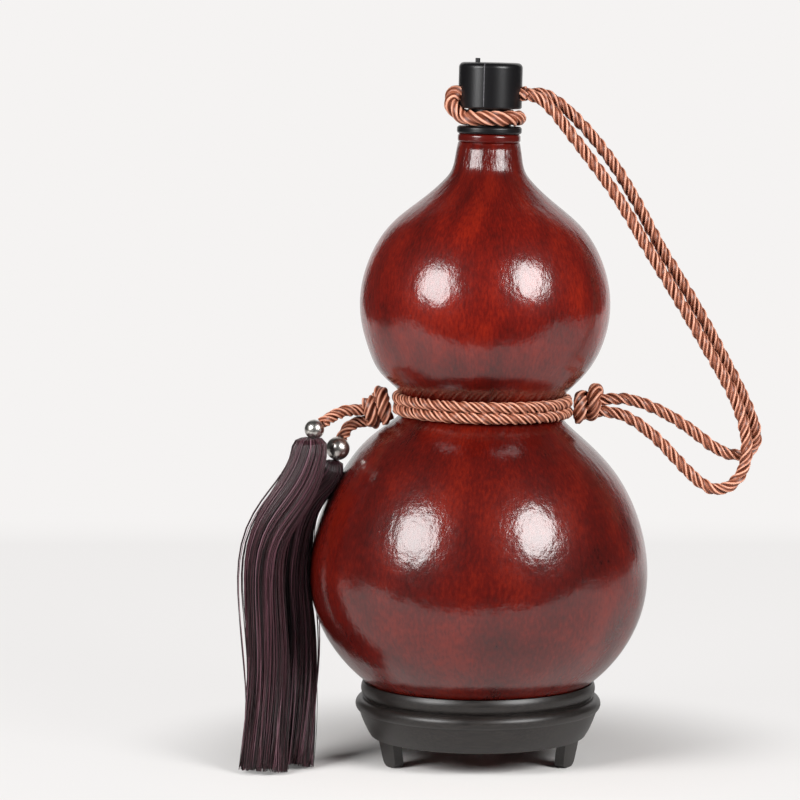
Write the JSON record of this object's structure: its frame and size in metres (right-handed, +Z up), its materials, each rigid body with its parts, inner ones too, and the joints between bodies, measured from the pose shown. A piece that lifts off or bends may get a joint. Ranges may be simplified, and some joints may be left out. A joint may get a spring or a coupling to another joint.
{
  "type": "gourd water bottle",
  "caption": "Lacquered double gourd bottle with a stopper, a corded carrying loop and hanging tassels, standing in a round footed stand.",
  "frame": {"origin": "centre of the stand's footprint on the floor", "axes": "+Z up, -Y towards the front, +X to the right, where the carrying loop stands out"},
  "size_m": [0.2179, 0.1422, 0.2954],
  "materials": {
    "lacquered_gourd": "deep red-brown gloss lacquer over dried gourd",
    "wax": "thin beeswax sealing coat",
    "black_plastic": "moulded black plastic, satin gloss",
    "plug_rubber": "soft moulded rubber",
    "satin_cord": "twisted satin cord, copper brown",
    "polished_steel": "polished metal bead",
    "silk_floss": "dark aubergine silk floss",
    "dark_wood": "turned wood stained black-brown, satin"
  },
  "bodies": {
    "stand": {"stand_ring": "dark_wood", "stand_leg_1": "dark_wood", "stand_leg_2": "dark_wood", "stand_leg_3": "dark_wood"},
    "bottle": {"gourd_shell": "lacquered_gourd", "wax_lining": "wax", "neck_band": "lacquered_gourd", "mouth_ring": "black_plastic", "waist_cord_upper": "satin_cord", "waist_cord_lower": "satin_cord", "right_knot": "satin_cord", "left_knot": "satin_cord", "cord_tail_1": "satin_cord", "cord_tail_2": "satin_cord", "strap_strand_outer": "satin_cord", "strap_strand_inner": "satin_cord"},
    "stopper": {"stopper_knob": "black_plastic", "stopper_plug": "plug_rubber", "stopper_seal": "plug_rubber", "cap_hitch": "satin_cord"},
    "tassel_1": {"bead_1": "polished_steel", "tassel_thread_1": "silk_floss", "tassel_collar_1": "silk_floss", "tassel_skirt_1": "silk_floss"},
    "tassel_2": {"bead_2": "polished_steel", "tassel_thread_2": "silk_floss", "tassel_collar_2": "silk_floss", "tassel_skirt_2": "silk_floss"}
  },
  "joints": [
    {"name": "bottle_lift", "type": "slide", "parent": "stand", "child": "bottle", "axis": [0, 0, 1], "range_m": [0, 0.08]},
    {"name": "stopper_pull", "type": "slide", "parent": "bottle", "child": "stopper", "axis": [0.0227, 0, 0.9997], "range_m": [0, 0.024], "deforming": ["strap_strand_outer", "strap_strand_inner"]},
    {"name": "tassel_1_swing", "type": "hinge", "parent": "bottle", "child": "tassel_1", "pos_m": [-0.0686, -0.017, 0.14183], "axis": [-0.5291, 0.8486, 0], "range_deg": [0, 40]},
    {"name": "tassel_2_swing", "type": "hinge", "parent": "bottle", "child": "tassel_2", "pos_m": [-0.059, -0.0075, 0.13265], "axis": [0.9684, 0.2495, 0], "range_deg": [0, 30]}
  ]
}
